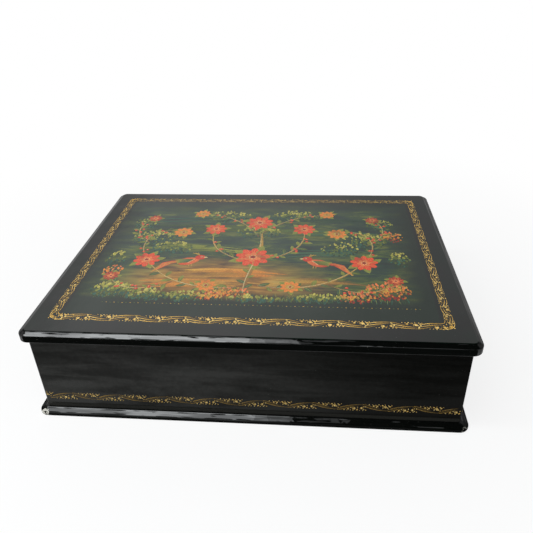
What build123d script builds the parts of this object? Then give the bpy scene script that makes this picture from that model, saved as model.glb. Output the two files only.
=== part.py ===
from build123d import *
import os
from math import asin, degrees

# A lacquered papier-mache box with a hinged lid.
# Origin at the middle of the underside: +X along the front, +Y to the hinges at the back, +Z up.
# All lengths in millimetres.

# Overall size: the walls in plan, and the height with the lid closed
wall_length = 221.0
wall_depth = 168.0
box_height = 55.5

# Lid board with its bevelled edge
lid_thickness = 5.5
lid_overhang = 3.7
lid_corner_radius = 5.5
lid_bevel_width = 3.0
lid_bevel_drop = 1.6
lid_ridge_radius = 1.2
lid_shoulder_radius = 0.6
lid_lower_radius = 0.4

# Base board with the same kind of edge, and a narrow ledge between its bevel and the foot of the wall
base_thickness = 3.3
base_overhang = 4.5
base_bevel_width = 3.5
base_bevel_drop = 1.6
base_shoulder_radius = 0.5
base_lower_chamfer = 0.4

# The wound tube that makes the four walls
wall_thickness = 6.0
wall_outer_radius = 1.2
wall_inner_radius = 2.0
wall_lip_chamfer = 0.5

# Frame under the lid, which drops inside the walls
rim_clearance = 0.4
rim_thickness = 4.0
rim_depth = 5.5
rim_edge_chamfer = 0.8

# Two brass butt hinges let into the back
hinge_inset = 37.5
hinge_length = 24.0
hinge_standoff = 0.8
knuckle_count = 3
knuckle_radius = 1.5
knuckle_gap = 0.15
barrel_clearance = 0.3
leaf_thickness = 0.7
leaf_reach = 5.4
leaf_parting = 0.05
mortise_clearance = 0.1

# Hinge pins
pin_radius = 0.7
pin_clearance = 0.05
pin_head_radius = 1.1
pin_head_height = 0.4
pin_end_clearance = 0.4

# Hinge nails, which are shorter in the lid
nail_count = 2
nail_inset = 4.0
nail_shank_radius = 0.4
nail_head_radius = 0.85
nail_head_height = 0.25
nail_clearance = 0.03
body_nail_length = 6.0
lid_nail_length = 3.2

# How far every cutting solid runs past the face that it cuts
overrun = 1.0

# How close to a height an edge must run to be at that height, as a share of the softening there
level_share = 0.1

# Sizes that follow from those above
lid_length = wall_length + 2 * lid_overhang
lid_depth = wall_depth + 2 * lid_overhang
inner_length = wall_length - 2 * wall_thickness
inner_depth = wall_depth - 2 * wall_thickness
seam_height = box_height - lid_thickness
wall_height = seam_height - base_thickness
base_length = wall_length + 2 * base_overhang
base_depth = wall_depth + 2 * base_overhang
base_corner_radius = wall_outer_radius + base_overhang
rim_length = inner_length - 2 * rim_clearance
rim_width = inner_depth - 2 * rim_clearance
axis_place = wall_depth / 2 + hinge_standoff
barrel_reach = knuckle_radius + barrel_clearance
knuckle_length = (hinge_length - (knuckle_count - 1) * knuckle_gap) / knuckle_count
leaf_width = leaf_reach - barrel_reach
mortise_depth = leaf_thickness + leaf_parting
groove_length = hinge_length + 2 * (pin_head_height + pin_end_clearance)
hinge_reach = wall_length / 2 - hinge_inset
hinge_places = {"left": -hinge_reach, "right": hinge_reach}

# The open lid comes to rest when its back edge meets the wall
stop_angle = 90 + degrees(asin(hinge_standoff / (lid_overhang - hinge_standoff)))


def rounded_slab(length, depth, thickness, radius):
    """A board with rounded corners in plan, standing on z = 0."""
    return extrude(RectangleRounded(length, depth, radius), thickness)


def bevelled_board(length, depth, thickness, corner, bevel_width, bevel_drop, shoulder_radius):
    """A board with a bevel all round its upper edge, and the shoulder below the bevel softened."""
    board = rounded_slab(length, depth, thickness, corner)
    top = board.faces().sort_by(Axis.Z)[-1]
    board = chamfer(top.edges(), bevel_width, bevel_drop, reference=top)
    return fillet(edges_at(board, thickness - bevel_drop, shoulder_radius), shoulder_radius)


def edges_at(shape, height, radius):
    """The edges of a shape that run level at one height, where a softening of about this radius goes."""
    tolerance = radius * level_share
    lower = height - tolerance
    upper = height + tolerance
    return [e for e in shape.edges() if e.bounding_box().min.Z > lower and e.bounding_box().max.Z < upper]


def along_x(shape):
    """Turns a solid built about the Z axis so that it lies along X."""
    return Rot(0, 90, 0) * shape


def hinge_groove(place):
    """The round groove that takes one hinge's barrel, about the hinge axis."""
    return Pos(place, axis_place, seam_height) * along_x(Cylinder(barrel_reach, groove_length))


def leaf_mortise(place, side):
    """The recess for one leaf: side is 1 for the lid, above the seam, and -1 for the wall, below it."""
    length = hinge_length + 2 * mortise_clearance
    inner_end = axis_place - leaf_reach - mortise_clearance
    depth = axis_place - inner_end
    height = mortise_depth + overrun
    middle = seam_height + side * (mortise_depth - height / 2)
    return Pos(place, inner_end + depth / 2, middle) * Box(length, depth, height)


def nail_places(place):
    """Where the nails of one hinge stand, along X and Y."""
    pitch = (hinge_length - 2 * nail_inset) / (nail_count - 1)
    first = place - hinge_length / 2 + nail_inset
    return [(first + i * pitch, axis_place - barrel_reach - leaf_width / 2) for i in range(nail_count)]


def nail_hole(x, y, side, length):
    """A hole for one nail in the board, running from the seam."""
    height = length + overrun
    middle = seam_height + side * (length + nail_clearance - height / 2)
    return Pos(x, y, middle) * Cylinder(nail_shank_radius + nail_clearance, height)


def make_base_plate():
    """The bottom board, which shows as a ledge and a bevel round the foot of the wall."""
    board = bevelled_board(
        base_length, base_depth, base_thickness, base_corner_radius,
        base_bevel_width, base_bevel_drop, base_shoulder_radius,
    )
    return chamfer(edges_at(board, 0, base_lower_chamfer), base_lower_chamfer)


def make_body_wall():
    """The four walls in one tube, glued down on the base, with the hinge recesses in its back edge."""
    tube = rounded_slab(wall_length, wall_depth, wall_height, wall_outer_radius)
    tube -= Pos(0, 0, -overrun) * rounded_slab(
        inner_length, inner_depth, wall_height + 2 * overrun, wall_inner_radius)
    tube = chamfer(tube.faces().sort_by(Axis.Z)[-1].edges(), wall_lip_chamfer)
    tube = Pos(0, 0, base_thickness) * tube
    for place in hinge_places.values():
        tube -= hinge_groove(place)
        tube -= leaf_mortise(place, -1)
        for x, y in nail_places(place):
            tube -= nail_hole(x, y, -1, body_nail_length)
    return tube


def make_lid_panel():
    """The lid board, with the other halves of the hinge recesses in its underside."""
    panel = bevelled_board(
        lid_length, lid_depth, lid_thickness, lid_corner_radius,
        lid_bevel_width, lid_bevel_drop, lid_shoulder_radius,
    )
    panel = fillet(edges_at(panel, lid_thickness, lid_ridge_radius), lid_ridge_radius)
    panel = fillet(edges_at(panel, 0, lid_lower_radius), lid_lower_radius)
    panel = Pos(0, 0, seam_height) * panel
    for place in hinge_places.values():
        panel -= hinge_groove(place)
        panel -= leaf_mortise(place, 1)
        for x, y in nail_places(place):
            panel -= nail_hole(x, y, 1, lid_nail_length)
    return panel


def make_lid_rim():
    """The frame of mitred strips glued under the lid, which stands just clear of the walls inside."""
    outer = rounded_slab(rim_length, rim_width, rim_depth, wall_inner_radius - rim_clearance)
    hole = Rectangle(rim_length - 2 * rim_thickness, rim_width - 2 * rim_thickness)
    frame = outer - Pos(0, 0, -overrun) * extrude(hole, rim_depth + 2 * overrun)
    frame = chamfer(frame.faces().sort_by(Axis.Z)[0].edges(), rim_edge_chamfer)
    return Pos(0, 0, seam_height - rim_depth) * frame


def knuckle_middle(index):
    """Where a knuckle's middle lies along the hinge, from the hinge's own middle."""
    return (index - (knuckle_count - 1) / 2) * (knuckle_length + knuckle_gap)


def make_hinge_leaf(place, side):
    """One leaf with its knuckles: the wall's leaf (side -1) has the outer ones, the lid's the others."""
    plate_middle = seam_height + side * (leaf_parting + leaf_thickness / 2)
    edge_place = axis_place - barrel_reach
    leaf = Pos(place, edge_place - leaf_width / 2, plate_middle) * Box(hinge_length, leaf_width, leaf_thickness)
    first = 0 if side < 0 else 1
    tongue_depth = barrel_reach + leaf_thickness
    for index in range(first, knuckle_count, 2):
        x = place + knuckle_middle(index)
        leaf += Pos(x, axis_place - tongue_depth / 2, plate_middle) * Box(knuckle_length, tongue_depth, leaf_thickness)
        leaf += Pos(x, axis_place, seam_height) * along_x(Cylinder(knuckle_radius, knuckle_length))
    bore = Cylinder(pin_radius + pin_clearance, hinge_length + 2 * overrun)
    leaf -= Pos(place, axis_place, seam_height) * along_x(bore)
    outer_face = seam_height + side * leaf_parting
    for x, y in nail_places(place):
        head_height = nail_head_height + overrun
        head_middle = outer_face + side * (nail_head_height - head_height / 2)
        leaf -= Pos(x, y, head_middle) * Cylinder(nail_head_radius + nail_clearance, head_height)
        leaf -= Pos(x, y, plate_middle) * Cylinder(nail_shank_radius + nail_clearance, leaf_thickness + overrun)
    return leaf


def make_hinge_pin(place):
    """The pin through one hinge, with a small riveted head at each end."""
    pin = along_x(Cylinder(pin_radius, hinge_length))
    for end in (-1, 1):
        head = along_x(Cylinder(pin_head_radius, pin_head_height))
        pin += Pos(end * (hinge_length + pin_head_height) / 2, 0, 0) * head
    return Pos(place, axis_place, seam_height) * pin


def make_nails(side, length):
    """All the nails of one side's leaves, as separate solids with their heads flush in the leaf."""
    nails = []
    head_face = seam_height + side * leaf_parting
    for place in hinge_places.values():
        for x, y in nail_places(place):
            shank_length = length - leaf_parting
            nail = Pos(x, y, head_face + side * shank_length / 2) * Cylinder(nail_shank_radius, shank_length)
            head = Cylinder(nail_head_radius, nail_head_height)
            nail += Pos(x, y, head_face + side * nail_head_height / 2) * head
            nails.append(nail)
    return Compound(children=nails)


def save(name, shape):
    """Writes one piece as its own STEP file."""
    export_step(shape, f"parts/{name}.step")


def main():
    """Builds and writes every piece, and prints how far the lid can turn."""
    os.makedirs("parts", exist_ok=True)
    save("base_plate", make_base_plate())
    save("body_wall", make_body_wall())
    save("lid_panel", make_lid_panel())
    save("lid_rim", make_lid_rim())
    for name, place in hinge_places.items():
        save(f"hinge_body_leaf_{name}", make_hinge_leaf(place, -1))
        save(f"hinge_lid_leaf_{name}", make_hinge_leaf(place, 1))
        save(f"hinge_pin_{name}", make_hinge_pin(place))
    save("body_hinge_nails", make_nails(-1, body_nail_length))
    save("lid_hinge_nails", make_nails(1, lid_nail_length))
    print(f"The lid's back edge meets the wall at {stop_angle:.1f} degrees")


main()
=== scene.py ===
import bpy
import bmesh
import random
from math import sin, cos, pi, radians, atan2
from mathutils import Matrix, Vector
from mathutils.geometry import interpolate_bezier


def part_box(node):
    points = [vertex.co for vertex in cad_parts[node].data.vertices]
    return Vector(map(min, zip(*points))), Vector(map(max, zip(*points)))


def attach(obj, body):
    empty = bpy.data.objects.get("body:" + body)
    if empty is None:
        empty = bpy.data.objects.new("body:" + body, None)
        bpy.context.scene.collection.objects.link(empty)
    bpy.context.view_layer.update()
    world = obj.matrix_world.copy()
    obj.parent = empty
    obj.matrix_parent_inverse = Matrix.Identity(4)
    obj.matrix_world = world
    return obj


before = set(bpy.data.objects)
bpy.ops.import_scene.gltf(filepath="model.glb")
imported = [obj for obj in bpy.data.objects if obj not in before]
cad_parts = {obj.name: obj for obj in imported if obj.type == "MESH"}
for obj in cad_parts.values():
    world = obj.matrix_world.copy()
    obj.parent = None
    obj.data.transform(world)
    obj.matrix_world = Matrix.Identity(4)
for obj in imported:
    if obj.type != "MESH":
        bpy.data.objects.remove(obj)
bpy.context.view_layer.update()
scene = bpy.context.scene
mm = 0.001
margin = 0.0002  # how far a finish keeps inside its face, in metres
white = (1.0, 1.0, 1.0)

# heights and edges of the box that the paint and the finishes follow, in metres
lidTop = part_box("lid_panel")[1].z
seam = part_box("lid_panel")[0].z
wallLow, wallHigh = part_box("body_wall")
rimLow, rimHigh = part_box("lid_rim")
print("frame loaded, lid top at", round(lidTop * 1000, 2), "mm")


def addNode(tree, kind, **settings):
    node = tree.nodes.new(kind)
    for name, value in settings.items():
        setattr(node, name, value)
    return node


def wire(tree, source, target):
    tree.links.new(source, target)


def feed(tree, socket, value):
    # a number or a colour is set on the socket itself, anything else is wired to it
    if isinstance(value, (int, float)):
        socket.default_value = value
    elif isinstance(value, tuple):
        socket.default_value = (*value, 1.0)
    elif value is not None:
        wire(tree, value, socket)


def mathNode(tree, operation, first, second=None, clamp=False):
    node = addNode(tree, "ShaderNodeMath", operation=operation, use_clamp=clamp)
    feed(tree, node.inputs[0], first)
    feed(tree, node.inputs[1], second)
    return node.outputs[0]


def times(tree, first, *others):
    for other in others:
        first = mathNode(tree, "MULTIPLY", first, other)
    return first


def mapRange(tree, value, fromMin, fromMax, toMin=0.0, toMax=1.0, smooth=True):
    node = addNode(tree, "ShaderNodeMapRange", interpolation_type="SMOOTHSTEP" if smooth else "LINEAR")
    for index, number in enumerate((value, fromMin, fromMax, toMin, toMax)):
        feed(tree, node.inputs[index], number)
    return node.outputs["Result"]


def mixColour(tree, factor, first, second, blend="MIX"):
    node = addNode(tree, "ShaderNodeMix", data_type="RGBA", blend_type=blend)
    for index, value in ((0, factor), (6, first), (7, second)):
        feed(tree, node.inputs[index], value)
    return node.outputs[2]


def noise(tree, vector, scale, detail=3.0, roughness=0.5, distortion=0.0):
    node = addNode(tree, "ShaderNodeTexNoise")
    wire(tree, vector, node.inputs["Vector"])
    for name, value in (("Scale", scale), ("Detail", detail), ("Roughness", roughness), ("Distortion", distortion)):
        feed(tree, node.inputs[name], value)
    return node.outputs["Fac"]


def mapped(tree, vector, location=(0, 0, 0), rotation=(0, 0, 0), scale=(1, 1, 1)):
    node = addNode(tree, "ShaderNodeMapping")
    wire(tree, vector, node.inputs["Vector"])
    for name, value in (("Location", location), ("Rotation", rotation), ("Scale", scale)):
        node.inputs[name].default_value = value
    return node.outputs["Vector"]


def axesOf(tree, vector):
    node = addNode(tree, "ShaderNodeSeparateXYZ")
    wire(tree, vector, node.inputs[0])
    return node.outputs


def lengthOf(tree, vector):
    node = addNode(tree, "ShaderNodeVectorMath", operation="LENGTH")
    wire(tree, vector, node.inputs[0])
    return node.outputs["Value"]


def ramp(tree, value, stops):
    node = addNode(tree, "ShaderNodeValToRGB")
    wire(tree, value, node.inputs["Fac"])
    elements = node.color_ramp.elements
    while len(elements) < len(stops):
        elements.new(0.5)
    for element, (place, colour) in zip(elements, stops):
        element.position = place
        element.color = (*colour, 1.0)
    return node.outputs["Color"]


def newGroup(name, outputs, **numbers):
    # every group reads a place and some numbers, and puts out numbers that change over the surface
    group = bpy.data.node_groups.new(name, "ShaderNodeTree")
    group.interface.new_socket("place", in_out="INPUT", socket_type="NodeSocketVector")
    for label, value in numbers.items():
        group.interface.new_socket(label, in_out="INPUT", socket_type="NodeSocketFloat").default_value = value
    for label in outputs:
        group.interface.new_socket(label, in_out="OUTPUT", socket_type="NodeSocketFloat")
    return group, addNode(group, "NodeGroupInput").outputs, addNode(group, "NodeGroupOutput").inputs


def useGroup(tree, group, place, **values):
    node = addNode(tree, "ShaderNodeGroup", node_tree=group)
    wire(tree, place, node.inputs["place"])
    for name, value in values.items():
        feed(tree, node.inputs[name], value)
    return node.outputs


def emptyTree(owner, outputKind="ShaderNodeOutputMaterial"):
    owner.use_nodes = True
    tree = owner.node_tree
    tree.nodes.clear()
    return tree, addNode(tree, outputKind)


def newMaterial(name):
    material = bpy.data.materials.new(name)
    tree, output = emptyTree(material)
    shader = addNode(tree, "ShaderNodeBsdfPrincipled")
    wire(tree, shader.outputs["BSDF"], output.inputs["Surface"])
    place = addNode(tree, "ShaderNodeTexCoord").outputs["Object"]
    return material, tree, shader, place


def bumpInto(tree, shader, height, distance, coat=True):
    bump = addNode(tree, "ShaderNodeBump")
    bump.inputs["Distance"].default_value = distance
    wire(tree, height, bump.inputs["Height"])
    wire(tree, bump.outputs["Normal"], shader.inputs["Normal"])
    if coat:
        wire(tree, bump.outputs["Normal"], shader.inputs["Coat Normal"])


def placed(name, data):
    thing = bpy.data.objects.new(name, data)
    scene.collection.objects.link(thing)
    return thing


def dress(node, material):
    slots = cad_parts[node].data.materials
    slots.clear()
    slots.append(material)


def makeLacquerWaves():
    # slow waves and fine ripple of hand-rubbed lacquer, with a haze that changes over the surface
    tree, given, result = newGroup("lacquerWaves", ("height", "haze"), wave=60.0, ripple=210.0)
    slow = noise(tree, given["place"], given["wave"], 1.0)
    fine = noise(tree, given["place"], given["ripple"], 2.0)
    wire(tree, mathNode(tree, "ADD", slow, times(tree, fine, 0.22)), result["height"])
    cloud = noise(tree, given["place"], 30.0, 5.0, 0.6)
    wire(tree, mapRange(tree, cloud, 0.35, 0.7), result["haze"])
    return tree


def makeScratches():
    # fine scratches in two directions
    tree, given, result = newGroup("scratches", ("mask",), density=60.0)
    strands = []
    for turn in (0.5, -0.9):
        bent = mapped(tree, given["place"], rotation=(turn * 0.4, turn * 0.3, turn), scale=(1, 16, 3))
        strands.append(mapRange(tree, noise(tree, bent, given["density"], 4.0, 0.7), 0.62, 0.72))
    wire(tree, mathNode(tree, "MAXIMUM", *strands), result["mask"])
    return tree


def makeInsideOf():
    # 1 inside an upright rectangle round the middle, falling to 0 over the softness
    tree, given, result = newGroup("insideOf", ("mask",), halfLength=0.1, halfDepth=0.08, softness=0.0002)
    x, y, z = axesOf(tree, given["place"])
    pastX = mathNode(tree, "SUBTRACT", mathNode(tree, "ABSOLUTE", x), given["halfLength"])
    pastY = mathNode(tree, "SUBTRACT", mathNode(tree, "ABSOLUTE", y), given["halfDepth"])
    share = mathNode(tree, "DIVIDE", mathNode(tree, "MAXIMUM", pastX, pastY), given["softness"])
    wire(tree, mathNode(tree, "SUBTRACT", 0.0, share, clamp=True), result["mask"])
    return tree


def makeSettledDust():
    # pale dust that lies in specks and faint drifts
    tree, given, result = newGroup("settledDust", ("mask",), amount=0.5)
    specks = mapRange(tree, noise(tree, given["place"], 1500.0, 2.0), 0.70, 0.78)
    drifts = mapRange(tree, noise(tree, given["place"], 45.0), 0.4, 0.75)
    wire(tree, times(tree, specks, drifts, given["amount"]), result["mask"])
    return tree


lacquerWaves = makeLacquerWaves()
scratches = makeScratches()
insideOf = makeInsideOf()
settledDust = makeSettledDust()
print("shared effects made")


def inside(tree, place, halfLength, halfDepth, softness=margin):
    return useGroup(tree, insideOf, place, halfLength=halfLength, halfDepth=halfDepth, softness=softness)["mask"]


# what all the lacquered pieces share; ends is where the bevels at the two ends of the box begin, in metres
lacquer = dict(
    black=(0.0012, 0.0016, 0.0013), green=(0.0032, 0.0080, 0.0056), red=(0.36, 0.020, 0.010),
    redDark=(0.27, 0.013, 0.006), dust=(0.35, 0.34, 0.31), coatRoughness=0.03, waveDepth=0.00012, ribShare=2.6,
    ribSoftness=0.0003, ends=(0.1108, 0.1118),
)


def lacquerBase(name, wave=60.0, coatRoughness=lacquer["coatRoughness"], bevel=None):
    material, tree, shader, place = newMaterial(name)
    shader.inputs["Specular IOR Level"].default_value = 0.0
    shader.inputs["Coat Roughness"].default_value = coatRoughness
    waves = useGroup(tree, lacquerWaves, place, wave=wave)
    wire(tree, mapRange(tree, waves["haze"], 0, 1, 0.42, 0.6), shader.inputs["Roughness"])
    x, y, z = axesOf(tree, place)
    height = waves["height"]
    if bevel is not None:
        # the lacquer lies unevenly on a bevel, in long low ribs
        low, high = bevel
        ribs = noise(tree, mapped(tree, place, scale=(48, 48, 340)), 1.0, 2.0)
        span = times(tree, mapRange(tree, z, low, low + lacquer["ribSoftness"]),
                     mapRange(tree, z, high - lacquer["ribSoftness"], high, 1, 0))
        ribs = times(tree, mathNode(tree, "SUBTRACT", ribs, 0.5), span, lacquer["ribShare"])
        height = mathNode(tree, "ADD", height, ribs)
    bumpInto(tree, shader, height, lacquer["waveDepth"])
    return material, tree, shader, place, waves["haze"], x, z


def redLacquer(tree, place):
    # flowed on by hand, so the red is a little deeper in soft clouds and fine brush lines
    streak = noise(tree, mapped(tree, place, scale=(30, 400, 400)), 1.0)
    cloud = noise(tree, place, 12.0, 2.0)
    both = mathNode(tree, "ADD", times(tree, streak, 0.35), times(tree, cloud, 0.65))
    return mixColour(tree, mapRange(tree, both, 0.35, 0.62), lacquer["redDark"], lacquer["red"])


def withDust(tree, place, colour, amount):
    dust = useGroup(tree, settledDust, place, amount=amount)
    return mixColour(tree, dust["mask"], colour, lacquer["dust"])


def fullAlong(tree, x, least):
    # 1 along the box, and the least share on the bevels of its two ends
    return mapRange(tree, mathNode(tree, "ABSOLUTE", x), *lacquer["ends"], 1, least)


def bevelStreak(tree, place, x, z, upperZ, weakest, fullest):
    # the polish on the bevels is streaky, along the edge, and worn at the two ends of the box
    streak = noise(tree, mapped(tree, place, scale=(24, 24, 950)), 1.0, roughness=0.65)
    level = mapRange(tree, streak, 0.40, 0.60, weakest, fullest)
    below = mapRange(tree, z, upperZ - 0.0001, upperZ, 1, 0, smooth=False)
    return mixColour(tree, below, white, times(tree, level, fullAlong(tree, x, 0.55)))


# the painted ground on the lid, in millimetres, its tones, and the green between the border and the ground
field = dict(
    centre=(-1.5, 5.5), halfLength=95, halfDepth=62, fade=17, deepGreen=(0.0022, 0.0108, 0.0050),
    cool=((0.36, (0.003, 0.013, 0.010)), (0.46, (0.008, 0.030, 0.020)),
          (0.54, (0.028, 0.055, 0.016)), (0.64, (0.095, 0.110, 0.018))),
    warm=((0.36, (0.060, 0.026, 0.006)), (0.47, (0.20, 0.090, 0.013)),
          (0.57, (0.42, 0.20, 0.028)), (0.67, (0.52, 0.31, 0.06))),
)


def makeLidMaterial():
    material, tree, shader, place, haze, x, z = lacquerBase("lidLacquer", bevel=(lidTop - 0.00155, lidTop - 0.0001))
    # brushed teal and olive, warm ochre low in the middle, fading to black at torn edges
    centred = mapped(tree, place, location=(-field["centre"][0] * mm, -field["centre"][1] * mm, 0))
    torn = noise(tree, mapped(tree, place, scale=(1, 2.4, 1)), 42.0, 4.0, 0.6)
    tornBy = addNode(tree, "ShaderNodeVectorMath", operation="MULTIPLY_ADD")
    wire(tree, torn.node.outputs["Color"], tornBy.inputs[0])
    tornBy.inputs[1].default_value = (0.020, 0.014, 0)
    wire(tree, centred, tornBy.inputs[2])
    shifted = mapped(tree, tornBy.outputs[0], location=(-0.010, -0.007, 0))
    ground = inside(tree, shifted, field["halfLength"] * mm, field["halfDepth"] * mm, field["fade"] * mm)
    brushed = noise(tree, mapped(tree, place, rotation=(0, 0, 0.12), scale=(1, 5, 1)), 55.0, 6.0, 0.62, 0.6)
    hills = noise(tree, mapped(tree, place, scale=(1, 1.9, 1)), 21.0, 2.0, distortion=1.2)
    tone = mathNode(tree, "ADD", times(tree, brushed, 0.55), times(tree, hills, 0.5))
    glow = lengthOf(tree, mapped(tree, place, location=(0.3, 1.3, 0), scale=(14.5, 34, 0)))
    glowShare = mapRange(tree, mathNode(tree, "ADD", glow, times(tree, hills, 0.8)), 0.75, 1.5, 1, 0)
    painted = mixColour(tree, glowShare, ramp(tree, tone, field["cool"]), ramp(tree, tone, field["warm"]))
    outside = mixColour(tree, haze, lacquer["black"], lacquer["green"])
    outside = mixColour(tree, inside(tree, place, 0.0975, 0.07, 0.0015), outside, field["deepGreen"])
    top = mixColour(tree, ground, outside, painted)
    # the painting is on the upper face only; the recess under the lid is red within the rim
    upper = mapRange(tree, z, lidTop - 0.0002, lidTop - 0.0001, smooth=False)
    under = mapRange(tree, z, seam + 0.0002, seam + 0.0001, smooth=False)
    redShare = times(tree, under, inside(tree, place, rimHigh.x - margin, rimHigh.y - margin))
    colour = mixColour(tree, redShare, mixColour(tree, upper, lacquer["black"], top), redLacquer(tree, place))
    wire(tree, withDust(tree, place, colour, 0.35), shader.inputs["Base Color"])
    # the upright edge of the board has a duller, thinner coat
    outer = inside(tree, place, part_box("lid_panel")[1].x - margin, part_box("lid_panel")[1].y - margin)
    edge = times(tree, mapRange(tree, z, seam + 0.0003, seam + 0.0005),
                 mapRange(tree, z, lidTop - 0.00158, lidTop - 0.00142, 1, 0), mathNode(tree, "SUBTRACT", 1.0, outer))
    # and the ridge above the bevel is rubbed
    ridge = times(tree, mapRange(tree, z, lidTop - 0.00006, lidTop - 0.00002, 1, 0),
                  mapRange(tree, z, lidTop - 0.00048, lidTop - 0.00030), fullAlong(tree, x, 0))
    gloss = times(tree, mapRange(tree, haze, 0, 1, 1, 0.93), mapRange(tree, ridge, 0, 1, 1, 0.25),
                  bevelStreak(tree, place, x, z, lidTop - 0.0001, 0.60, 1.0), mapRange(tree, edge, 0, 1, 1, 0.04))
    wire(tree, gloss, shader.inputs["Coat Weight"])
    return material


# the wall's dark lacquer, the paler colour of its painted sheen, the paler painted light above the ledge, the wave
# scale and the coat's roughness
wallFinish = dict(dark=(0.0008, 0.0008, 0.0006), pale=(0.0094, 0.0100, 0.0086), ledgeLightTone=(0.019, 0.019, 0.017),
                  wave=30.0, coatRoughness=0.11)


def makeWallMaterial():
    material, tree, shader, place, haze, x, z = lacquerBase("wallLacquer", wallFinish["wave"],
                                                            wallFinish["coatRoughness"])
    # hand-rubbed: faint level streaks, and a gloss that is fuller towards the left end and at half the height; this
    # sheen also sets the colour, as painted sheen
    streak = noise(tree, mapped(tree, place, rotation=(0, 0.03, 0), scale=(17, 17, 120)), 1.0, 5.0, 0.62, 0.9)
    broad = noise(tree, mapped(tree, place, location=(0.4, 0, 0), scale=(9, 9, 38)), 1.0, distortion=0.6)
    grain = noise(tree, place, 520.0, 2.0)
    both = mathNode(tree, "ADD", times(tree, streak, 0.42), times(tree, broad, 0.48))
    both = mathNode(tree, "ADD", both, times(tree, grain, 0.10))
    middle = times(tree, mapRange(tree, z, 0.012, 0.027, 0.80, 1.0), mapRange(tree, z, 0.030, 0.046, 1.08, 0.64))
    sheen = times(tree, mapRange(tree, x, -0.06, 0.10, 0.42, 0.09), mapRange(tree, both, 0.37, 0.63, 0.48, 1.40),
                  middle)
    wire(tree, sheen, shader.inputs["Coat Weight"])
    # painted sheen: the colour is paler where the sheen is fuller, so the left end and the middle of the height are
    # painted lighter
    paintedSheenShare = mathNode(tree, "MULTIPLY", sheen, 2.4, clamp=True)
    outside = mixColour(tree, paintedSheenShare, wallFinish["dark"], wallFinish["pale"])
    # painted light: a paler band just above the ledge, standing in for light that the ledge throws back onto the wall
    paintedLedgeLight = mapRange(tree, z, wallLow.z + 0.0018, wallLow.z + 0.0030, 0.9, 0)
    outside = mixColour(tree, paintedLedgeLight, outside, wallFinish["ledgeLightTone"])
    within = inside(tree, place, wallHigh.x - 0.0055, wallHigh.y - 0.0055)
    colour = mixColour(tree, within, outside, redLacquer(tree, place))
    wire(tree, withDust(tree, place, colour, 0.3), shader.inputs["Base Color"])
    return material


def nearTo(tree, place, point, reach):
    # 1 round one point, falling to 0 at the reach
    away = lengthOf(tree, mapped(tree, place, location=[-c for c in point]))
    return mapRange(tree, away, reach * 0.5, reach, 1, 0)


# each chip has its middle and its reach, in metres
baseFinish = dict(
    haze=(0.0022, 0.0026, 0.0022), scuffed=(0.045, 0.042, 0.036), chipAndGlint=(0.50, 0.49, 0.44),
    leftChip=((-0.1112, -0.0879, 0.0012), 0.0042), rightChip=((0.1122, -0.0876, 0.0012), 0.0030),
)


def makeBaseMaterial():
    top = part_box("base_plate")[1].z
    material, tree, shader, place, haze, x, z = lacquerBase("baseLacquer", bevel=(top - 0.0013, top - 0.00005))
    outside = mixColour(tree, haze, lacquer["black"], baseFinish["haze"])
    within = inside(tree, place, wallHigh.x - 0.003, wallHigh.y - 0.003)
    floorShare = times(tree, within, mapRange(tree, z, top - 0.0004, top - 0.0002, smooth=False))
    colour = mixColour(tree, floorShare, outside, redLacquer(tree, place))
    # the underside is rubbed and dusty from standing on tables
    under = mapRange(tree, z, 0.0001, 0.0004, 1, 0)
    scuffed = times(tree, under, useGroup(tree, scratches, place, density=45.0)["mask"])
    colour = withDust(tree, place, mixColour(tree, scuffed, colour, baseFinish["scuffed"]), 0.4)
    # the front corners are chipped, most of all the left one; the pale chips also stand in for a glint on the corner,
    # as a painted highlight
    worn = mathNode(tree, "MAXIMUM", nearTo(tree, place, *baseFinish["leftChip"]),
                    times(tree, nearTo(tree, place, *baseFinish["rightChip"]), 0.86))
    chip = noise(tree, place, 700.0, 3.0, 0.6, 1.0)
    chipAndGlint = mathNode(tree, "GREATER_THAN", times(tree, worn, chip), 0.47)
    chipAndGlint = times(tree, chipAndGlint, mapRange(tree, x, -0.05, 0.05, 1.0, 0.22))
    wire(tree, mixColour(tree, chipAndGlint, colour, baseFinish["chipAndGlint"]), shader.inputs["Base Color"])
    # the polish is thin on the upright edge and at the foot of the wall
    edge = mapRange(tree, z, top - 0.00130, top - 0.00110, 0.10, 1.0)
    foot = mixColour(tree, within, mapRange(tree, z, top - 0.00012, top - 0.00005, 1.0, 0.5), white)
    gloss = times(tree, edge, foot, bevelStreak(tree, place, x, z, top - 0.0001, 0.34, 0.72),
                  mapRange(tree, under, 0, 1, 1, 0.5))
    wire(tree, gloss, shader.inputs["Coat Weight"])
    return material


rimFinish = dict(worn=(0.03, 0.008, 0.004), wornShare=0.7)


def makeRimMaterial():
    material, tree, shader, place, haze, x, z = lacquerBase("rimLacquer")
    # rubbed darker along its lower edge, where it meets the wall each time the lid shuts
    rubbed = mapRange(tree, z, rimLow.z + 0.0002, rimLow.z + 0.0014, rimFinish["wornShare"], 0)
    rubbed = times(tree, rubbed, mapRange(tree, noise(tree, place, 240.0, 4.0), 0.4, 0.6))
    wire(tree, mixColour(tree, rubbed, redLacquer(tree, place), rimFinish["worn"]), shader.inputs["Base Color"])
    wire(tree, mapRange(tree, haze, 0, 1, 0.9, 0.7), shader.inputs["Coat Weight"])
    return material


dress("lid_panel", makeLidMaterial())
dress("body_wall", makeWallMaterial())
dress("base_plate", makeBaseMaterial())
dress("lid_rim", makeRimMaterial())
print("lacquer done")


brass = dict(colour=(0.72, 0.47, 0.15), tarnish=(0.22, 0.115, 0.03), mark=(0.85, 0.62, 0.28), shine=(0.24, 0.5))


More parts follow.
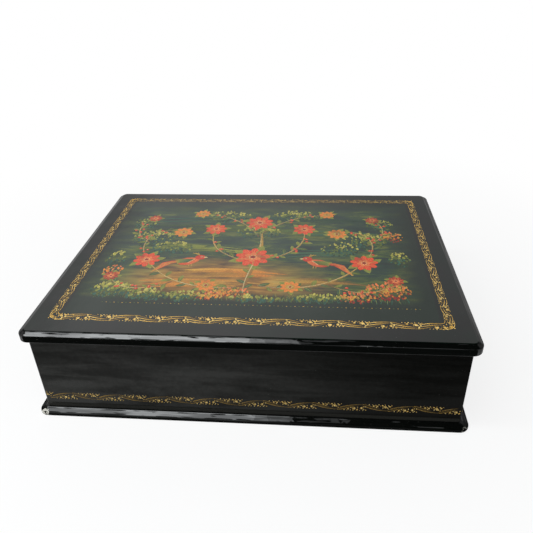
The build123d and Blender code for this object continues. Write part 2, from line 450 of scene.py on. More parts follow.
def makeBrass(name, grainScale, tarnishShare):
    material, tree, shader, place = newMaterial(name)
    shader.inputs["Metallic"].default_value = 1.0
    patch = noise(tree, place, 320.0, 5.0, 0.65)
    dulled = mapRange(tree, patch, 0.62 - tarnishShare * 0.3, 0.75)
    marks = useGroup(tree, scratches, place, density=grainScale)["mask"]
    colour = mixColour(tree, dulled, brass["colour"], brass["tarnish"])
    wire(tree, mixColour(tree, marks, colour, brass["mark"]), shader.inputs["Base Color"])
    wire(tree, mapRange(tree, patch, 0.35, 0.7, *brass["shine"]), shader.inputs["Roughness"])
    bumpInto(tree, shader, marks, 0.00001, coat=False)
    return material


leafBrass = makeBrass("leafBrass", 260.0, 0.5)
pinBrass = makeBrass("pinBrass", 400.0, 0.8)
nailBrass = makeBrass("nailBrass", 520.0, 0.3)
for side in ("left", "right"):
    dress(f"hinge_body_leaf_{side}", leafBrass)
    dress(f"hinge_lid_leaf_{side}", leafBrass)
    dress(f"hinge_pin_{side}", pinBrass)
dress("body_hinge_nails", nailBrass)
dress("lid_hinge_nails", nailBrass)
print("brass done")


# every stroke is a thin flat shape, drawn in millimetres on a level sheet
class Brush:
    def __init__(self, seed, tones):
        self.random = random.Random(seed)
        self.tones = tones
        self.limits = None
        self.whole = bmesh.new()
        self.newSheet()

    def kept(self, path):
        # a stroke stops where the border does
        if self.limits is None:
            return path
        return [p for p in path if self.limits[0] <= p[0] <= self.limits[1]]

    def newSheet(self):
        self.bm = bmesh.new()
        self.tint = self.bm.verts.layers.float_color.new("paint")

    def toned(self, colour):
        return self.tones[colour] if isinstance(colour, str) else colour

    def colourOf(self, verts, colour, spread):
        factor = 1 + self.random.uniform(-spread, spread)
        for v in verts:
            v[self.tint] = (*(c * factor for c in self.toned(colour)), 1.0)

    def blendTip(self, v, tip, t):
        # the colour runs towards the tip's along the stroke
        if tip is not None:
            v[self.tint] = (*(c * (1 - t) + d * t for c, d in zip(v[self.tint][:3], self.toned(tip))), 1.0)

    def heightOf(self, lift):
        # no two strokes lie at quite the same height
        return lift + self.random.uniform(0, 0.006)

    def stroke(self, path, width, colour, lift=0.0, ends=(0.15, 0.15), tip=None, spread=0.12):
        # a strip bent along the path, full in its middle and drawn out at its ends
        path = [Vector(p) for p in self.kept(path)]
        count = len(path) - 1
        lift = self.heightOf(lift)
        if count < 2:
            return
        strip = bmesh.ops.create_grid(self.bm, x_segments=count, y_segments=1, size=1)["verts"]
        self.colourOf(strip, colour, spread)
        for v in strip:
            step = round((v.co.x + 1) / 2 * count)
            t = step / count
            before, after = path[max(step - 1, 0)], path[min(step + 1, count)]
            along = (after - before).normalized()
            share = max(max(sin(pi * t), 0.0) ** 0.7, ends[0] * (1 - t) + ends[1] * t)
            half = width / 2 * share * (1 if v.co.y > 0 else -1)
            self.blendTip(v, tip, t)
            v.co = (path[step].x - along.y * half, path[step].y + along.x * half, lift)

    def dab(self, place, size, colour, lift=0.0, angle=0.0, slim=1.0, point=0.0, segments=7, spread=0.15, tip=None):
        # a round touch of the brush, drawn to a point at one end where asked
        if not self.kept([place]):
            return
        turn = Matrix.Translation((place[0], place[1], self.heightOf(lift))) @ Matrix.Rotation(angle, 4, "Z")
        disc = bmesh.ops.create_circle(self.bm, cap_ends=True, segments=segments, radius=size)["verts"]
        self.colourOf(disc, colour, spread)
        for v in disc:
            along = v.co.x / size
            self.blendTip(v, tip, (along + 1) / 2)
            v.co = turn @ Vector((v.co.x, v.co.y * slim * (1 - point * max(along, 0)), 0))

    def layOn(self, matrix):
        # puts the finished sheet on its face of the box
        sheet = bpy.data.meshes.new("sheet")
        self.bm.to_mesh(sheet)
        self.bm.free()
        sheet.transform(matrix)
        self.whole.from_mesh(sheet)
        bpy.data.meshes.remove(sheet)
        self.newSheet()

    def finish(self, name, material, body, thickness):
        # brings the millimetres to metres and gives the paint its thickness
        mesh = bpy.data.meshes.new(name)
        bmesh.ops.scale(self.whole, vec=(mm, mm, mm), verts=self.whole.verts)
        self.whole.to_mesh(mesh)
        self.whole.free()
        mesh.materials.append(material)
        piece = placed(name, mesh)
        skin = piece.modifiers.new("paintDepth", "SOLIDIFY")
        skin.thickness = thickness
        skin.offset = -1
        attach(piece, body)
        print(name, len(mesh.polygons), "faces")


def bend(start, pull, push, end, count):
    return [p.to_2d() for p in interpolate_bezier(
        Vector((*start, 0)), Vector((*pull, 0)), Vector((*push, 0)), Vector((*end, 0)), count + 1)]


def around(centre, radius, angle):
    return centre[0] + radius * cos(angle), centre[1] + radius * sin(angle)


def arc(centre, radius, start, sweep, count, closing):
    # an open curl; closing under 1 winds it inwards
    shares = [k / count for k in range(count + 1)]
    return [around(centre, radius * (1 + (closing - 1) * t), start + sweep * t) for t in shares]


# tones of the gold, how much of them shows on the lid and on the walls, where the gold is darkened as painted shade,
# and how the paint lies on its face: the lift in millimetres, the thickness in metres
gold = dict(colour=(0.62, 0.36, 0.060), bright=(0.95, 0.60, 0.15), dark=(0.21, 0.13, 0.026),
            glint=(0.90, 0.64, 0.21), dull=(0.34, 0.21, 0.042), lid=white, wall=(0.58, 0.60, 0.66),
            lift=0.015, thickness=0.00006)


def strokeMaterial(name, coatWeight):
    # paint under the lacquer: its colour comes from the strokes, its gloss from the coat
    material, tree, shader, place = newMaterial(name)
    shader.inputs["Specular IOR Level"].default_value = 0.0
    shader.inputs["Coat Weight"].default_value = coatWeight
    shader.inputs["Coat Roughness"].default_value = lacquer["coatRoughness"]
    bumpInto(tree, shader, useGroup(tree, lacquerWaves, place)["height"], lacquer["waveDepth"])
    tint = addNode(tree, "ShaderNodeVertexColor", layer_name="paint").outputs["Color"]
    return material, tree, shader, place, tint


def makeGoldMaterial(name, coatWeight, tone):
    material, tree, shader, place, tint = strokeMaterial(name, coatWeight)
    grain = noise(tree, place, 2600.0, 2.0)
    worn = mapRange(tree, noise(tree, place, 130.0, 4.0), 0.55, 0.78, 0, 0.35)
    # painted shade: the tone multiplies the gold, white on the lid and darker on the walls
    tint = mixColour(tree, 1.0, tint, tone, blend="MULTIPLY")
    flake = mixColour(tree, mapRange(tree, grain, 0.3, 0.75), gold["dark"], white)
    colour = mixColour(tree, 0.35, tint, flake, blend="MULTIPLY")
    wire(tree, mixColour(tree, worn, colour, gold["dark"]), shader.inputs["Base Color"])
    wire(tree, mapRange(tree, grain, 0.3, 0.7, 0.35, 0.55), shader.inputs["Roughness"])
    return material


def scrollLeaf(brush, start, half, reach, weight, side, full, turn):
    # one leaf of the running scroll: strands that set out from one edge of the band, where the last leaf ends, cross
    # it and taper together along the other edge; curls, ticks and balls fill the hollow behind them
    rnd = brush.random
    dotShare = 1.2 if full else 1.45

    def at(s, v):
        return Vector((start + s * half + rnd.uniform(-0.12, 0.12), side * v * reach + rnd.uniform(-0.08, 0.08)))

    def sweep(p, q, r, t, thick, tone, ends=(0.75, 0.12)):
        path = bend(at(*p), at(*q), at(*r), at(*t), 8)
        brush.stroke(path, weight * thick * rnd.uniform(0.85, 1.15), tone, ends=ends,
                     tip="colour" if tone == "bright" else "dark", spread=0.2)
        # painted highlight: a paler stroke along the crown of each bright strand
        if full and tone == "bright":  # a second, lighter touch along the crown of the strand
            brush.stroke(path[:5], weight * thick * 0.45, "glint", 0.010, ends=(0.6, 0.1), spread=0.2)

    def dot(middle, size, least):
        tone = "glint" if size > least else "bright"
        brush.dab(middle, weight * size * dotShare, tone, 0.012, segments=6, spread=0.2)

    def curl(s, v, size, first, sweepBy, thick, tone, heart):
        # a spiral about a ball
        middle = at(s, v)
        brush.stroke(arc(middle, size * reach, first * side, sweepBy * side, 9, 0.5), weight * thick, tone,
                     ends=(0.35, 0.8), spread=0.2)
        dot(middle, heart, 0.5)

    def ball(s, v, size):
        dot(at(s, v), size, 0.4)

    def tick(s, low, high, lean):
        brush.stroke([at(s, high), at(s + lean * 0.5, (low + high) / 2), at(s + lean, low)], weight * 0.38, "colour",
                     ends=(0.4, 0.9), spread=0.25)

    if full:
        sweep((-0.13, -0.92), (0.08, -0.84), (0.24, -0.26), (0.46, -0.10), 0.46, "colour")
        sweep((-0.11, -0.30), (0.12, -0.12), (0.30, 0.46), (0.80, 0.48), 0.76, "bright")
        sweep((-0.02, 0.42), (0.12, 0.74), (0.34, 1.12), (1.04, 0.96), 0.66, "bright")
        for k in range(2):
            s = 0.05 + 0.20 * k
            brush.stroke([at(s + 0.05, 0.40 + 0.16 * k), at(s + 0.01, 0.64 + 0.12 * k), at(s - 0.04, 0.84 + 0.08 * k)],
                         weight * 0.42, "bright" if k % 2 else "colour", 0.004, ends=(0.4, 0.9), spread=0.25)
        for s, v in ((-0.15, -0.86), (-0.13, -0.44), (-0.04, 0.04)):
            ball(s, v, 0.56)
    else:
        sweep((-0.13, -0.94), (0.12, -0.86), (0.28, 0.00), (0.60, 0.24), 0.52, "colour")
        sweep((-0.02, -0.20), (0.14, 0.12), (0.38, 0.97), (1.03, 0.88), 0.70, "colour")
        sweep((-0.16, -0.52), (0.10, -0.50), (0.30, 0.48), (0.76, 0.56), 0.34, "dull")
    ball(-0.16, 0.10, 0.52)
    ball(-0.08, 0.58, 0.46)
    ball(0.02, 0.90, 0.38)
    if turn:
        curl(0.46, -0.52, 0.34, 1.0, 5.0, 0.55, "colour", 0.52)
        curl(0.76, -0.24, 0.50, 2.4, 5.4, 0.62, "bright", 0.78)
        curl(0.95, -0.62, 0.28, -0.5, 4.4, 0.48, "colour", 0.48)
        tick(0.59, -0.9, -0.35, -0.03)
        tick(0.66, -0.95, -0.55, -0.03)
    else:
        curl(0.54, -0.36, 0.46, 2.0, 5.4, 0.60, "bright", 0.74)
        curl(0.84, -0.34, 0.42, 0.4, 5.0, 0.58, "colour", 0.64)
        tick(0.69, -0.95, -0.30, -0.03)
        tick(0.98, -0.95, -0.45, 0.02)
        ball(0.98, 0.16, 0.44)
    for k in range(6):
        ball(0.26 + 0.125 * k, -1.0 + 0.10 * (k % 2), 0.30 + 0.06 * (k % 3))
    if not full:
        curl(0.31, -0.62, 0.28, 0.2, 5.0, 0.50, "colour", 0.56)
        curl(0.66, -0.74, 0.24, 3.0, 5.0, 0.46, "colour", 0.50)
        ball(0.42, -0.16, 0.44)
        ball(0.67, -0.02, 0.42)
        ball(0.14, -0.95, 0.44)
        ball(0.90, 0.20, 0.40)


def scrollRun(brush, low, high, start, half, reach, weight, full=True):
    # leaves follow one another, by turns towards each edge; what would run past the ends is left out
    brush.limits = (low, high)
    for k in range(-30, 30):
        if low - half * 1.3 <= start + k * half <= high:
            scrollLeaf(brush, start + k * half, half, reach, weight, -1 if k % 2 == 0 else 1, full, k % 2 == 0)
    brush.limits = None


# in millimetres; where there is one value for each side, they are the front, right, back and left in turn
lidBorder = dict(place=(72.2, 100.9, 73.6, 100.9), reach=(2.45, 2.05, 2.35, 2.05), half=12.9, closeHalf=7.6,
                 weight=0.69, finer=(1.0, 0.66, 0.50, 0.64), start=-80.6)


def makeLidBorder(material):
    brush = Brush(11, gold)
    for side in range(4):
        # how far out this side lies, and the next one and the one before it
        depth, length, near = (lidBorder["place"][(side + step) % 4] for step in (0, 1, 3))
        r = lidBorder["reach"][side]
        # the front is the boldest; the other three sides are closer and finer
        half = lidBorder["half"] if side == 0 else (near + length) / round((near + length) / lidBorder["closeHalf"])
        start = lidBorder["start"] if side == 0 else -near + 2.5
        scrollRun(brush, -near + 2.0, length - 2.0, start, half, r, lidBorder["weight"] * lidBorder["finer"][side])
        w = lidBorder["weight"] * 0.85
        # the turned corner: outer and inner lines, a spiral, leaves and balls
        brush.stroke(bend((length - 5.0, -0.92 * r), (length + 0.3 * r, -1.0 * r), (length + 1.0 * r, -0.3 * r),
                          (length + 0.92 * r, 5.0), 12), w * 0.55, "bright", 0.006, ends=(0.3, 0.3))
        brush.stroke(bend((length - 4.6, -0.1 * r), (length - 0.9, -0.8 * r), (length + 0.75 * r, -0.5 * r),
                          (length + 0.15 * r, 3.6), 10), w * 0.8, "colour", ends=(0.3, 0.4))
        brush.stroke(bend((length - 5.2, 0.86 * r), (length - 2.6, 0.95 * r), (length - 0.95 * r, 2.6),
                          (length - 0.86 * r, 5.2), 8), w * 0.5, "colour", ends=(0.3, 0.3))
        brush.stroke(arc((length - 0.1, 0.1), 1.4, -2.4, 5.8, 12, 0.3), w * 0.6, "colour", ends=(0.4, 1.0))
        for x, y, size in ((-0.1, 0.1, 0.62), (1.5, -1.3, 0.6), (-2.6, -1.6, 0.55), (1.6, 2.6, 0.6), (-1.9, 1.5, 0.5),
                           (-3.4, 0.7, 0.5), (-0.7, 3.2, 0.5), (-1.9, -0.6, 0.4), (0.5, 1.9, 0.4)):
            brush.dab((length + x, y), w * size, "bright", 0.012)
        brush.layOn(Matrix.Translation((0, 0, lidTop / mm + gold["lift"])) @ Matrix.Rotation(side * pi / 2, 4, "Z")
                    @ Matrix.Translation((0, -depth, 0)))
    brush.finish("lidGoldBorder", material, "lid", gold["thickness"])


# in millimetres, the middle from the table up
wallBorder = dict(middle=11.05, reach=2.2, half=12.9, weight=0.45, start=-93.0)


def makeWallBorder(material):
    brush = Brush(23, gold)
    for side in range(4):
        length, depth = wallHigh.x / mm, wallHigh.y / mm
        if side % 2:
            length, depth = depth, length
        start = wallBorder["start"] if side == 0 else -length + 3
        scrollRun(brush, -length + 0.9, length - 0.9, start, wallBorder["half"], wallBorder["reach"],
                  wallBorder["weight"], full=False)
        # stands the sheet up against its wall, face outwards
        place = Matrix.Translation((0, -depth - gold["lift"], wallBorder["middle"]))
        brush.layOn(Matrix.Rotation(side * pi / 2, 4, "Z") @ place @ Matrix.Rotation(pi / 2, 4, "X"))
    brush.finish("wallGoldBorder", material, "box", gold["thickness"])


makeLidBorder(makeGoldMaterial("lidGold", 0.5, gold["lid"]))
# the walls' gold is a darker copy of the lid's gold, as painted shade
makeWallBorder(makeGoldMaterial("wallGold", 0.25, gold["wall"]))
print("gold borders done")


# the colours of the painting on the lid, a flowering tree with two birds
paints = dict(
    bark=(0.21, 0.085, 0.022), darkLeaf=(0.014, 0.050, 0.018), leaf=(0.10, 0.135, 0.016),
    lightLeaf=(0.33, 0.33, 0.045), sunLeaf=(0.56, 0.48, 0.09), teal=(0.020, 0.100, 0.066),
    scarlet=(0.76, 0.040, 0.010), crimson=(0.33, 0.012, 0.006), coral=(0.86, 0.21, 0.055), orange=(0.76, 0.23, 0.020),
    ochre=(0.60, 0.33, 0.045), cream=(0.86, 0.66, 0.30), ink=(0.010, 0.010, 0.008), shade=(0.02, 0.022, 0.014),
    ground=(0.012, 0.018, 0.012),
)


def makePaintMaterial():
    # fine hairs of the brush show in it, and the dark ground where the paint is thin
    material, tree, shader, place, tint = strokeMaterial("lidPaint", 0.85)
    hairs = noise(tree, mapped(tree, place, rotation=(0, 0, 0.5), scale=(1, 4, 1)), 900.0)
    thin = mapRange(tree, noise(tree, place, 90.0, 4.0), 0.52, 0.75, 0, 0.45)
    colour = mixColour(tree, mapRange(tree, hairs, 0.35, 0.7, 0.5, 0), tint, paints["shade"])
    wire(tree, mixColour(tree, thin, colour, paints["ground"]), shader.inputs["Base Color"])
    wire(tree, mapRange(tree, hairs, 0.3, 0.7, 0.4, 0.6), shader.inputs["Roughness"])
    return material


def paintLeaf(brush, base, angle, length, colour, tip, lift=0.010):
    curl = brush.random.uniform(-0.35, 0.35)
    path = [around(base, length * t, angle + curl * t) for t in (0, 0.25, 0.5, 0.75, 1.0)]
    brush.stroke(path, length * 0.42, colour, lift, ends=(0.12, 0.02), tip=tip)
    brush.stroke(path[:4], length * 0.055, "lightLeaf", lift + 0.008, ends=(0.6, 0.3))


def paintFlower(brush, centre, radius, outer, inner, lift=0.024):
    # nine outer petals with three hairs each, six inner ones, the heart and its ring of dots
    start = brush.random.uniform(0, 1)
    for k in range(9):
        a = start + 2 * pi * k / 9
        brush.dab(around(centre, radius * 0.58, a), radius * 0.46, outer, lift, angle=a, slim=0.62, point=0.25,
                  segments=9, tip=[c * 1.35 for c in brush.toned(outer)])
        for shift in (-0.17, 0.0, 0.17):
            brush.stroke([around(centre, radius * t, a + shift) for t in (0.4, 0.65, 0.95)], radius * 0.045, "coral",
                         lift + 0.008, ends=(0.3, 0.5))
    for k in range(6):
        a = start + 0.4 + 2 * pi * k / 6
        brush.dab(around(centre, radius * 0.27, a), radius * 0.27, inner, lift + 0.012, angle=a, slim=0.72, point=0.2,
                  segments=8)
    brush.dab(centre, radius * 0.15, "crimson", lift + 0.020, segments=8)
    for k in range(7):
        brush.dab(around(centre, radius * 0.2, start + 2 * pi * k / 7), radius * 0.045, "cream", lift + 0.028,
                  segments=5)


def paintFoliage(brush, centre, reach, count, colours, size=1.5, lift=0.006):
    rnd = brush.random
    for k in range(count):
        a, t = rnd.uniform(0, 2 * pi), rnd.random() ** 0.6
        place = (centre[0] + reach[0] * t * cos(a), centre[1] + reach[1] * t * sin(a))
        light = 0.5 + 0.5 * sin(a) * t
        colour = colours[min(int((light + rnd.uniform(-0.25, 0.25)) * len(colours)), len(colours) - 1)]
        brush.dab(place, size * rnd.uniform(0.5, 1.1), colour, lift + 0.01 * light,
                  angle=rnd.uniform(-0.6, 0.6) + pi / 2, slim=0.55, point=0.6, segments=6, spread=0.3)


def paintBird(brush, feet, facing):
    # breast to the front, long tail behind, drawn as seen from its side
    def at(x, y):
        return feet[0] + facing * x, feet[1] + y

    def way(angle):
        return angle if facing > 0 else pi - angle

    lift = 0.030
    for k in range(5):
        drop = -6.5 + k * 1.5
        brush.stroke([at(-5, 5 + k * 0.3), at(-10, 3.6 + k * 0.45), at(-15, 1 + drop * 0.4 + k * 0.6),
                      at(-19.5 + k * 0.7, drop)], 1.25, "ochre" if k % 2 else "scarlet", lift,
                     ends=(0.6, 0.5), tip="coral")
        brush.dab(at(-19.5 + k * 0.7, drop), 0.7, "ochre", lift + 0.006, segments=8)
    brush.dab(at(-0.2, 6.0), 6.9, "scarlet", lift + 0.008, angle=way(0.36), slim=0.60, point=0.2, segments=14,
              tip="coral")
    brush.dab(at(6.2, 10.6), 3.1, "scarlet", lift + 0.014, angle=way(0.2), slim=0.9, segments=12)
    brush.dab(at(9.6, 10.7), 1.4, "cream", lift + 0.020, angle=way(-0.1), slim=0.45, point=0.9, segments=6)
    brush.dab(at(7.0, 11.3), 0.7, "cream", lift + 0.022, segments=9)
    brush.dab(at(7.1, 11.3), 0.38, "ink", lift + 0.030, segments=7)
    for k in range(3):
        brush.stroke([at(5.4, 13.2), at(4.6 - k * 0.9, 14.8), at(4.0 - k * 1.6, 16.2 - k * 0.3)], 0.55, "ochre",
                     lift + 0.016, ends=(0.5, 0.7))
    for k in range(7):
        feather = [at(2.6 - k * 0.5, 8.2 - k * 0.6), at(-2.9 - k * 0.4, 7.8 - k * 0.65),
                   at(-8.6 + k * 0.4, 7.2 - k * 0.8)]
        brush.stroke(feather, 1.35, "teal" if k % 2 else "leaf", lift + 0.020, ends=(0.5, 0.2), tip="lightLeaf")
        brush.dab(at(3.0 - k * 0.5, 8.2 - k * 0.65), 0.36, "cream", lift + 0.030, segments=6)
    for k in range(5):
        brush.stroke([at(3.6 - k * 0.2, 4.6 - k * 0.5), at(4.8 - k * 0.5, 6.0 - k * 0.5)], 0.4, "ochre", lift + 0.018,
                     ends=(0.5, 0.5))
    for x in (0.8, 2.4):
        brush.stroke([at(x, 2.6), at(x + 0.2, 1.2), at(x + 0.3, 0)], 0.55, "ochre", lift, ends=(0.6, 0.5))


# in millimetres: strips of ground, bushes (place, reach, leaves), branches (curve, width), flowers (place, radius) and
# birds (feet, the way they face); only the thickness of the paint is in metres
picture = dict(
    ground=(
        ("teal", "darkLeaf", -88, 84, 40, 7, 7), ("darkLeaf", "leaf", -90, 30, 26, 6, 8),
        ("leaf", "teal", -20, 86, 20, 6, 8), ("leaf", "lightLeaf", -88, -6, -2, 8, 7),
        ("teal", "leaf", 8, 84, -6, 7, 7), ("ochre", "orange", -58, 28, -30, 7, 10),
        ("orange", "ochre", -70, 10, -41, 5, 8), ("ochre", "bark", 4, 64, -37, 5, 7),
    ),
    greenBushes=(
        (-70, 14, 14, 11, 170), (-55, 2, 13, 9, 130), (64, 14, 14, 11, 160), (50, 3, 12, 9, 120),
        (-24, 47, 15, 9, 130), (20, 48, 15, 9, 130), (-3, 24, 15, 8, 110), (-80, 36, 9, 8, 70), (76, 36, 9, 8, 70),
        (-78, -46, 12, 8, 150), (-58, -50, 12, 6, 130), (-36, -51, 12, 5, 110), (38, -51, 14, 5, 120),
        (2, -52, 14, 4, 90), (-86, -12, 6, 9, 70), (84, -8, 6, 9, 70),
    ),
    amberBushes=(
        (74, -42, 12, 9, 170), (56, -49, 9, 5, 80), (-13, -46, 12, 5, 100), (-24, -50, 9, 4, 60), (-84, -26, 6, 6, 50),
        (82, 20, 7, 7, 60),
    ),
    branches=(
        ((-3, -52), (-9, -28), (7, -6), (-2, 30), 3.0), ((-4, -40), (-26, -46), (-50, -40), (-66, -14), 1.5),
        ((-66, -14), (-80, 6), (-74, 32), (-52, 24), 1.1), ((-2, -38), (22, -46), (46, -40), (62, -14), 1.5),
        ((62, -14), (76, 6), (70, 32), (48, 24), 1.1), ((-1, -14), (-18, -10), (-34, 2), (-31, 26), 1.2),
        ((-1, -12), (16, -8), (30, 4), (27, 27), 1.2), ((-2, 18), (-8, 34), (-24, 50), (-43, 50), 1.0),
        ((-2, 20), (8, 36), (22, 50), (41, 50), 1.0), ((-46, -37), (-60, -48), (-76, -46), (-82, -34), 1.0),
        ((42, -37), (56, -48), (70, -46), (78, -34), 1.0), ((-70, 8), (-84, 16), (-86, 34), (-76, 42), 0.9),
        ((66, 8), (78, 16), (82, 34), (72, 42), 0.9),
    ),
    flowers=(
        (-3, 38, 9.0, "scarlet"), (-31, 28, 7.0, "scarlet"), (27, 29, 7.0, "scarlet"), (-52, 23, 6.2, "orange"),
        (48, 23, 6.2, "orange"), (-67, -13, 8.0, "scarlet"), (63, -13, 8.0, "scarlet"), (-44, 51, 5.2, "orange"),
        (42, 51, 5.2, "orange"), (-3, -8, 10.5, "scarlet"), (-26, -40, 5.6, "orange"), (21, -40, 5.6, "orange"),
        (-83, -32, 4.6, "crimson"), (79, -32, 4.6, "crimson"), (-76, 43, 4.6, "crimson"), (72, 43, 4.6, "crimson"),
    ),
    birds=((-41, -20, 1), (36, -20, -1)), lift=0.005, thickness=0.0001,
)


def makePainting(material):
    brush = Brush(37, paints)
    rnd = brush.random
    # low hills and a sandy path, in long loaded strokes
    for tone, tip, x0, x1, y, rise, width in picture["ground"]:
        for k in range(12):
            shift = rnd.uniform(-1, 1) * width * 0.55
            path = bend((x0 + rnd.uniform(-5, 5), y + shift), (x0 * 0.6 + x1 * 0.4, y + rise + shift),
                        (x0 * 0.3 + x1 * 0.7, y + rise * 0.6 + shift), (x1 + rnd.uniform(-5, 5), y + shift * 0.4), 14)
            brush.stroke(path[rnd.randrange(0, 7):15 - rnd.randrange(0, 7)], width * rnd.uniform(0.08, 0.26), tone,
                         0.001, ends=(0.05, 0.05), tip=tip, spread=0.45)
    # round heads of leaves behind the tree, and bushes at its foot
    greens = ["darkLeaf", "teal", "leaf", "lightLeaf", "sunLeaf"]
    ambers = ["crimson", "orange", "ochre", "coral"]
    for x, y, w, h, n in picture["greenBushes"]:
        paintFoliage(brush, (x, y), (w, h), n, greens)
    for x, y, w, h, n in picture["amberBushes"]:
        paintFoliage(brush, (x, y), (w, h), n, ambers, size=1.3)
    for k in range(260):
        x = rnd.uniform(-86, 84)
        y = -55 + rnd.uniform(0, 4)
        lean = rnd.uniform(-1.6, 1.6)
        brush.stroke([(x, y), (x + lean * 0.4, y + 2), (x + lean, y + rnd.uniform(3, 5))], 0.5,
                     rnd.choice(["leaf", "darkLeaf", "teal"]), 0.004, ends=(0.7, 0.1),
                     tip="lightLeaf" if rnd.random() < 0.4 else None)
    for start, pull, push, end, width in picture["branches"]:
        path = bend(start, pull, push, end, 14)
        brush.stroke(path, width, "bark", 0.008, ends=(0.9, 0.35), tip="ochre")
        brush.stroke([p + Vector((-0.18 * width, 0.12 * width)) for p in path[1:-1]], width * 0.22, "cream", 0.016,
                     ends=(0.4, 0.4))
        for k in range(1, 14):
            side = 1 if k % 2 else -1
            along = path[min(k + 1, 14)] - path[k - 1]
            angle = atan2(along.y, along.x) + side * rnd.uniform(0.6, 1.1)
            light = rnd.random()
            colour = "leaf" if light > 0.45 else "teal"
            paintLeaf(brush, path[k], angle, rnd.uniform(4.5, 7.5), colour, "lightLeaf" if light > 0.6 else "leaf")
        if width < 1.3:
            for k in range(3, 14, 4):
                for j in range(3):
                    place = around(path[k], 2.6, rnd.uniform(0, 2 * pi))
                    brush.dab(place, 0.95, "scarlet", 0.020, segments=8)
                    brush.dab((place[0] - 0.25, place[1] + 0.3), 0.25, "cream", 0.030, segments=5)
    for x, y, radius, colour in picture["flowers"]:
        for k in range(5):
            paintLeaf(brush, (x, y), 2 * pi * k / 5 + rnd.uniform(-0.3, 0.3), radius * 1.45, "leaf", "lightLeaf",
                      0.016)
        paintFlower(brush, (x, y), radius, colour, "coral" if colour != "orange" else "ochre")
    for x, y, facing in picture["birds"]:
        paintBird(brush, (x, y), facing)
    # dotted line under the picture
    for k in range(77):
        brush.dab((-79 + k * 2.2, -58.3 + rnd.uniform(-0.1, 0.1)), 0.42, "ochre" if k % 2 else "leaf", segments=6,
                  slim=0.7)
    brush.layOn(Matrix.Translation((0, 0, lidTop / mm + picture["lift"])))
    brush.finish("lidPainting", material, "lid", picture["thickness"])


makePainting(makePaintMaterial())
print("painting done")


# in metres; each strip lamp has the place of its right-hand end, its width and its strength, and each other lamp its
# middle, its size and its strength
stageSet = dict(
    floorColour=(0.88, 0.88, 0.88), floorSize=4.0, floorDrop=0.00005, lampColour=(0.95, 0.985, 1.0),
    strips=((-0.092, 0.10, 4.7), (-0.063, 0.12, 2.1), (-0.010, 0.14, 3.6)), stripLength=1.32,
    stripPlace=(-0.171, 0.900), stripStep=0.004,
    lamps=(("overheadEnd", (0.035, -0.199, 0.885), (0.13, 0.05), 1.0),
           ("overheadFront", (-0.400, -0.700, 0.900), (1.60, 0.90), 1.95)),
)


def makeFloor():
    bm = bmesh.new()
    bmesh.ops.create_grid(bm, x_segments=1, y_segments=1, size=stageSet["floorSize"])
    mesh = bpy.data.meshes.new("studioFloor")
    bm.to_mesh(mesh)
    bm.free()
    floor = placed("studioFloor", mesh)
    floor.location.z = -stageSet["floorDrop"]
    material = bpy.data.materials.new("studioFloor")
    tree, output = emptyTree(material)
    matt = addNode(tree, "ShaderNodeBsdfDiffuse")
    feed(tree, matt.inputs["Color"], stageSet["floorColour"])
    pale = addNode(tree, "ShaderNodeEmission")
    feed(tree, pale.inputs["Color"], white)
    # white where it is seen or mirrored, a little less so close to the box; it lights the box only as a matt floor
    rays = addNode(tree, "ShaderNodeLightPath").outputs
    seen = mathNode(tree, "MAXIMUM", rays["Is Camera Ray"],
                    mathNode(tree, "MAXIMUM", rays["Is Glossy Ray"], rays["Is Transmission Ray"]))
    away = lengthOf(tree, addNode(tree, "ShaderNodeTexCoord").outputs["Object"])
    blend = addNode(tree, "ShaderNodeMixShader")
    wire(tree, times(tree, seen, mapRange(tree, away, 0.12, 0.4, 0.8, 1)), blend.inputs[0])
    wire(tree, matt.outputs[0], blend.inputs[1])
    wire(tree, pale.outputs[0], blend.inputs[2])
    wire(tree, blend.outputs[0], output.inputs["Surface"])
    mesh.materials.append(material)


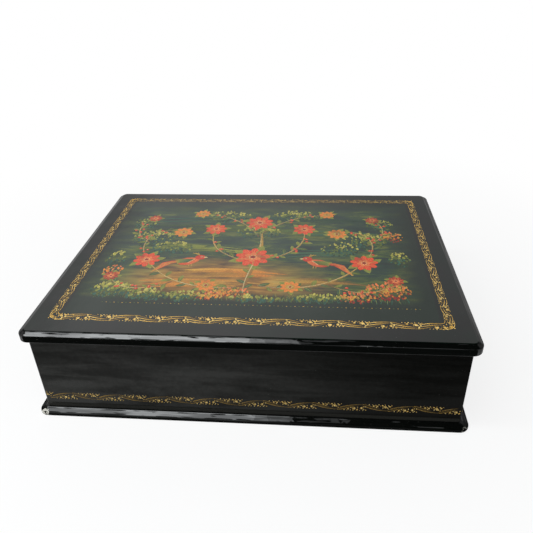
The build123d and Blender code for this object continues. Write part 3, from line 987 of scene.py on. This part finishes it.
def makeWorld():
    # white at the horizon; above it a pale wall, brightest behind the box, under a dim ceiling
    world = bpy.data.worlds.new("studio")
    scene.world = world
    tree, output = emptyTree(world, "ShaderNodeOutputWorld")
    background = addNode(tree, "ShaderNodeBackground")
    x, y, z = axesOf(tree, addNode(tree, "ShaderNodeTexCoord").outputs["Generated"])
    slope = mathNode(tree, "DIVIDE", x, mathNode(tree, "MAXIMUM", z, 0.01))
    pale = times(tree, mapRange(tree, slope, -0.34, 0.44, 1.13, 0.64), mapRange(tree, slope, -0.88, -0.68, 0.70, 1.0),
                 mapRange(tree, z, 0.34, 0.58, 0.66, 1.0))
    above = mapRange(tree, z, 0.22, 0.34)
    wall = mathNode(tree, "ADD", mathNode(tree, "SUBTRACT", 1.0, above), times(tree, above, pale))
    wire(tree, times(tree, wall, mapRange(tree, z, 0.66, 0.8, 1, 0.03)), background.inputs["Strength"])
    wire(tree, background.outputs[0], output.inputs["Surface"])
    feed(tree, background.inputs["Color"], white)


def makeLamp(name, centre, size, radiance):
    lamp = bpy.data.lights.new(name, "AREA")
    lamp.shape = "RECTANGLE"
    lamp.size, lamp.size_y = size
    lamp.energy = radiance * pi * size[0] * size[1]
    lamp.color = stageSet["lampColour"]
    placed(name, lamp).location = centre


def makeCamera():
    view = dict(azimuth=5.851, elevation=31.053, roll=-2.001, distance=0.343255,
                target=(0.004283, 0.0, 0.044189), focalPixels=549.743, frame=533, filmWidth=36)
    a, e, r = (radians(view[k]) for k in ("azimuth", "elevation", "roll"))
    back = Vector((sin(a) * cos(e), -cos(a) * cos(e), sin(e)))
    right = (-back).cross(Vector((0, 0, 1))).normalized()
    up = right.cross(-back)
    rolledRight = cos(r) * right + sin(r) * up
    rolledUp = cos(r) * up - sin(r) * right
    data = bpy.data.cameras.new("camera")
    data.sensor_width = view["filmWidth"]
    data.lens = view["focalPixels"] * view["filmWidth"] / view["frame"]
    data.clip_start = 0.01
    camera = placed("camera", data)
    place = Vector(view["target"]) + back * view["distance"]
    turn = Matrix((rolledRight, rolledUp, back)).transposed()
    camera.matrix_world = Matrix.Translation(place) @ turn.to_4x4()
    scene.camera = camera


makeFloor()
makeWorld()
for k, (end, width, radiance) in enumerate(stageSet["strips"]):
    length, (y, z) = stageSet["stripLength"], stageSet["stripPlace"]
    makeLamp(f"overheadStrip{k}", (end - length / 2, y, z - stageSet["stripStep"] * k), (length, width), radiance)
for lamp in stageSet["lamps"]:
    makeLamp(*lamp)
makeCamera()
scene.view_settings.view_transform = "Standard"
print("stage done")
